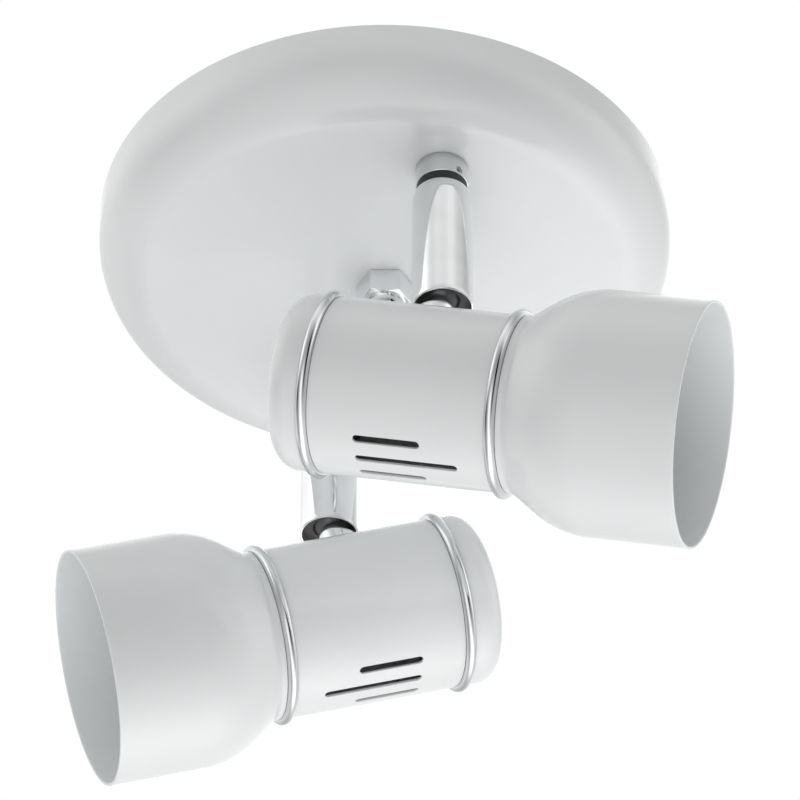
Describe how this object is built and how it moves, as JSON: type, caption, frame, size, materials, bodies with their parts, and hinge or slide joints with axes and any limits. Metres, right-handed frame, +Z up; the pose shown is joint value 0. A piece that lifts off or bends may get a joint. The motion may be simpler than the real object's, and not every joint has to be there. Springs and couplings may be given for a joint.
{
  "type": "twin ceiling spotlight",
  "caption": "Ceiling spotlight: a round plate carries turning stems whose ball joints hold cylindrical heads with flared, open-mouthed shades and ringed seams.",
  "frame": {"origin": "centre of the ceiling plate's rim, in the plane of the ceiling", "axes": "+Z points up into the ceiling, +X runs along the fixing strap, towards the side that the front head points to, and -Y is the side it was pictured from"},
  "size_m": [0.2063, 0.191, 0.1767],
  "materials": {
    "white_paint": "gloss",
    "chrome": "polished",
    "zinc_plate": "zinc plated",
    "spring_steel": "drawn wire",
    "brass": "plain",
    "ceramic": "unglazed",
    "black_plastic": "matte",
    "frosted_glass": "frosted",
    "lamp_cap_metal": "satin",
    "lead_sleeve": "matte"
  },
  "bodies": {
    "plate": {"ceiling_plate": "white_paint", "ceiling_strap": "zinc_plate", "centre_stud": "zinc_plate", "stud_nut": "zinc_plate", "cap_nut": "chrome", "terminal_block": "ceramic", "terminal_tubes": "brass", "terminal_screws": "zinc_plate", "earth_screw": "brass", "collar_a": "chrome", "collar_b": "chrome", "collar_nipples": "zinc_plate", "nipple_nuts": "zinc_plate", "stop_screws": "zinc_plate", "turning_washers": "black_plastic", "plate_leads": "lead_sleeve"},
    "stem_a": {"stem_tube_a": "chrome", "stem_spigot_a": "brass", "spacer_sleeve_a": "black_plastic", "joint_spring_a": "spring_steel", "ball_cup_a": "black_plastic", "ball_seat_a": "black_plastic", "stem_leads_a": "lead_sleeve"},
    "stem_b": {"stem_tube_b": "chrome", "stem_spigot_b": "brass", "spacer_sleeve_b": "black_plastic", "joint_spring_b": "spring_steel", "ball_cup_b": "black_plastic", "ball_seat_b": "black_plastic", "stem_leads_b": "lead_sleeve"},
    "head_a": {"swivel_ball_a": "chrome", "neck_saddle_a": "zinc_plate", "neck_nut_a": "zinc_plate", "body_tube_a": "white_paint", "rear_cap_a": "white_paint", "rear_ring_a": "chrome", "front_ring_a": "chrome", "shade_a": "white_paint", "lampholder_a": "ceramic", "holder_contacts_a": "brass", "holder_bracket_a": "zinc_plate", "holder_nut_a": "zinc_plate", "lamp_glass_a": "frosted_glass", "lamp_cap_a": "lamp_cap_metal", "head_leads_a": "lead_sleeve"},
    "head_b": {"swivel_ball_b": "chrome", "neck_saddle_b": "zinc_plate", "neck_nut_b": "zinc_plate", "body_tube_b": "white_paint", "rear_cap_b": "white_paint", "rear_ring_b": "chrome", "front_ring_b": "chrome", "shade_b": "white_paint", "lampholder_b": "ceramic", "holder_contacts_b": "brass", "holder_bracket_b": "zinc_plate", "holder_nut_b": "zinc_plate", "lamp_glass_b": "frosted_glass", "lamp_cap_b": "lamp_cap_metal", "head_leads_b": "lead_sleeve"}
  },
  "joints": [
    {"name": "pan_a", "type": "hinge", "parent": "plate", "child": "stem_a", "pos_m": [0.01737, -0.05345, -0.032], "axis": [0, 0, 1], "range_deg": [-161.5, 33.5]},
    {"name": "pan_b", "type": "hinge", "parent": "plate", "child": "stem_b", "pos_m": [-0.01737, 0.05345, -0.032], "axis": [0, 0, 1], "range_deg": [-175.8, 19.2]},
    {"name": "tilt_a", "type": "hinge", "parent": "stem_a", "child": "head_a", "pos_m": [0.01737, -0.05345, -0.0765], "axis": [0.1478, 0.989, 0], "range_deg": [-32.9, 3.1]},
    {"name": "tilt_b", "type": "hinge", "parent": "stem_b", "child": "head_b", "pos_m": [-0.01737, 0.05345, -0.0765], "axis": [0.1011, -0.9949, 0], "range_deg": [-35.6, 0.4]}
  ]
}
